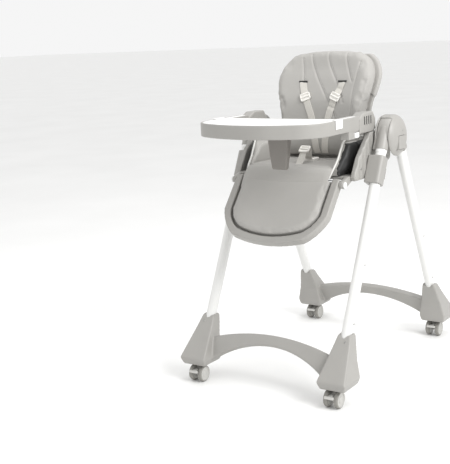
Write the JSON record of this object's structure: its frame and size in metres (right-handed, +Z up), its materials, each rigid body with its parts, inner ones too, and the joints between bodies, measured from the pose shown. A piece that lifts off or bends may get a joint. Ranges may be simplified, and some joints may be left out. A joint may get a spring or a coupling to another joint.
{
  "type": "baby high chair",
  "caption": "Folding baby high chair on swivel castors: crossed leg frames with arch bars, padded reclining seat with harness, sliding tray, fold-up armrests and tilting footrest.",
  "frame": {"origin": "on the floor under the middle of the whole chair", "axes": "+X to the child's left, -Y to the front (tray side), +Z up"},
  "size_m": [0.6072, 0.9367, 1.05],
  "materials": {
    "powder_white": "white powder coat",
    "abs_grey": "warm grey moulded ABS, fine satin",
    "abs_dark": "darker grey moulded plastic",
    "pu_leather": "light grey PU leather over foam",
    "gloss_white": "glossy white plastic",
    "webbing": "beige grey woven webbing",
    "wheel_grey": "light grey nylon"
  },
  "bodies": {
    "front_frame": {"front_leg_left": "powder_white", "front_leg_right": "powder_white", "front_base": "abs_grey", "hub_socket_left": "abs_grey", "hub_socket_right": "abs_grey"},
    "rear_frame": {"rear_leg_left": "powder_white", "rear_leg_right": "powder_white", "rear_base": "abs_grey", "hub_cover_left": "abs_grey", "hub_cover_right": "abs_grey"},
    "fold_button_left": {"fold_button_left": "abs_grey"},
    "fold_button_right": {"fold_button_right": "abs_grey"},
    "seat": {"seat_pan": "abs_grey", "side_panel_left": "abs_grey", "side_panel_right": "abs_grey", "slider_left": "abs_grey", "slider_right": "abs_grey", "seat_cushion": "pu_leather", "cushion_wing_left": "pu_leather", "cushion_wing_right": "pu_leather", "footrest_caps": "wheel_grey", "crotch_strap": "webbing", "harness_buckle": "abs_grey"},
    "height_lever_left": {"height_lever_left": "abs_grey"},
    "height_lever_right": {"height_lever_right": "abs_grey"},
    "backrest": {"back_shell": "abs_grey", "back_cushion": "pu_leather", "shoulder_strap_left": "webbing", "shoulder_strap_right": "webbing", "strap_adjusters": "abs_grey"},
    "recline_handle": {"recline_handle": "abs_grey"},
    "armrests": {"armrest_left": "abs_grey", "armrest_right": "abs_grey"},
    "tray_base": {"tray_base": "abs_grey", "crotch_post": "abs_dark"},
    "tray_insert": {"tray_insert": "gloss_white", "tray_clip_left": "gloss_white", "tray_clip_right": "gloss_white"},
    "tray_button_left": {"tray_button_left": "gloss_white"},
    "tray_button_right": {"tray_button_right": "gloss_white"},
    "footrest": {"footrest_frame": "abs_grey", "footrest_pad": "pu_leather"},
    "castor_body_front_left": {"castor_body_front_left": "abs_dark"},
    "castor_wheels_front_left": {"castor_wheels_front_left": "wheel_grey"},
    "castor_brake_front_left": {"castor_brake_front_left": "abs_grey"},
    "castor_body_front_right": {"castor_body_front_right": "abs_dark"},
    "castor_wheels_front_right": {"castor_wheels_front_right": "wheel_grey"},
    "castor_brake_front_right": {"castor_brake_front_right": "abs_grey"},
    "castor_body_rear_left": {"castor_body_rear_left": "abs_dark"},
    "castor_wheels_rear_left": {"castor_wheels_rear_left": "wheel_grey"},
    "castor_brake_rear_left": {"castor_brake_rear_left": "abs_grey"},
    "castor_body_rear_right": {"castor_body_rear_right": "abs_dark"},
    "castor_wheels_rear_right": {"castor_wheels_rear_right": "wheel_grey"},
    "castor_brake_rear_right": {"castor_brake_rear_right": "abs_grey"}
  },
  "joints": [
    {"name": "leg_fold", "type": "hinge", "parent": "front_frame", "child": "rear_frame", "pos_m": [0, 0.01796, 0.762], "axis": [-1, 0, 0], "range_deg": [0, 50]},
    {"name": "fold_button_left_press", "type": "slide", "parent": "rear_frame", "child": "fold_button_left", "axis": [-1, 0, 0], "range_m": [0, 0.005], "stiffness_N_per_m": 400},
    {"name": "fold_button_right_press", "type": "slide", "parent": "rear_frame", "child": "fold_button_right", "axis": [1, 0, 0], "range_m": [0, 0.005], "stiffness_N_per_m": 400},
    {"name": "seat_height", "type": "slide", "parent": "front_frame", "child": "seat", "axis": [0, 0.4384, 0.8988], "range_m": [-0.21, 0]},
    {"name": "height_lever_left_pull", "type": "slide", "parent": "seat", "child": "height_lever_left", "axis": [0, 0.8988, -0.4384], "range_m": [0, 0.006], "stiffness_N_per_m": 500},
    {"name": "height_lever_right_pull", "type": "slide", "parent": "seat", "child": "height_lever_right", "axis": [0, 0.8988, -0.4384], "range_m": [0, 0.006], "stiffness_N_per_m": 500},
    {"name": "recline", "type": "hinge", "parent": "seat", "child": "backrest", "pos_m": [0, 0.04897, 0.72], "axis": [-1, 0, 0], "range_deg": [0, 49]},
    {"name": "recline_handle_pull", "type": "slide", "parent": "backrest", "child": "recline_handle", "axis": [0, 0.309, 0.9511], "range_m": [0, 0.008], "stiffness_N_per_m": 500},
    {"name": "armrest_fold", "type": "hinge", "parent": "seat", "child": "armrests", "pos_m": [0, -0.03404, 0.822], "axis": [-1, 0, 0], "range_deg": [0, 90]},
    {"name": "tray_slide", "type": "slide", "parent": "armrests", "child": "tray_base", "axis": [0, -1, 0], "range_m": [0, 0.06]},
    {"name": "tray_insert_lift", "type": "slide", "parent": "tray_base", "child": "tray_insert", "axis": [0, 0, 1], "range_m": [0, 0.04]},
    {"name": "tray_button_left_press", "type": "slide", "parent": "tray_base", "child": "tray_button_left", "axis": [-1, 0, 0], "range_m": [0, 0.004], "stiffness_N_per_m": 300},
    {"name": "tray_button_right_press", "type": "slide", "parent": "tray_base", "child": "tray_button_right", "axis": [1, 0, 0], "range_m": [0, 0.004], "stiffness_N_per_m": 300},
    {"name": "footrest_tilt", "type": "hinge", "parent": "seat", "child": "footrest", "pos_m": [0, -0.21504, 0.65], "axis": [-1, 0, 0], "range_deg": [-33, 50]},
    {"name": "castor_swivel_front_left", "type": "hinge", "parent": "front_frame", "child": "castor_body_front_left", "pos_m": [0.2506, -0.38011, 0.055], "axis": [0, 0, 1], "continuous": true},
    {"name": "wheel_spin_front_left", "type": "hinge", "parent": "castor_body_front_left", "child": "castor_wheels_front_left", "pos_m": [0.2506, -0.4001, 0.027], "axis": [1, 0, 0], "continuous": true},
    {"name": "brake_front_left", "type": "hinge", "parent": "castor_body_front_left", "child": "castor_brake_front_left", "pos_m": [0.2506, -0.4101, 0.04], "axis": [1, 0, 0], "range_deg": [0, 12]},
    {"name": "castor_swivel_front_right", "type": "hinge", "parent": "front_frame", "child": "castor_body_front_right", "pos_m": [-0.2506, -0.38011, 0.055], "axis": [0, 0, 1], "continuous": true},
    {"name": "wheel_spin_front_right", "type": "hinge", "parent": "castor_body_front_right", "child": "castor_wheels_front_right", "pos_m": [-0.2506, -0.4001, 0.027], "axis": [1, 0, 0], "continuous": true},
    {"name": "brake_front_right", "type": "hinge", "parent": "castor_body_front_right", "child": "castor_brake_front_right", "pos_m": [-0.2506, -0.4101, 0.04], "axis": [1, 0, 0], "range_deg": [0, 12]},
    {"name": "castor_swivel_rear_left", "type": "hinge", "parent": "rear_frame", "child": "castor_body_rear_left", "pos_m": [0.2506, 0.41603, 0.055], "axis": [0, 0, 1], "continuous": true},
    {"name": "wheel_spin_rear_left", "type": "hinge", "parent": "castor_body_rear_left", "child": "castor_wheels_rear_left", "pos_m": [0.2506, 0.39604, 0.027], "axis": [1, 0, 0], "continuous": true},
    {"name": "brake_rear_left", "type": "hinge", "parent": "castor_body_rear_left", "child": "castor_brake_rear_left", "pos_m": [0.2506, 0.38604, 0.04], "axis": [1, 0, 0], "range_deg": [0, 12]},
    {"name": "castor_swivel_rear_right", "type": "hinge", "parent": "rear_frame", "child": "castor_body_rear_right", "pos_m": [-0.2506, 0.41603, 0.055], "axis": [0, 0, 1], "continuous": true},
    {"name": "wheel_spin_rear_right", "type": "hinge", "parent": "castor_body_rear_right", "child": "castor_wheels_rear_right", "pos_m": [-0.2506, 0.39604, 0.027], "axis": [1, 0, 0], "continuous": true},
    {"name": "brake_rear_right", "type": "hinge", "parent": "castor_body_rear_right", "child": "castor_brake_rear_right", "pos_m": [-0.2506, 0.38604, 0.04], "axis": [1, 0, 0], "range_deg": [0, 12]}
  ]
}
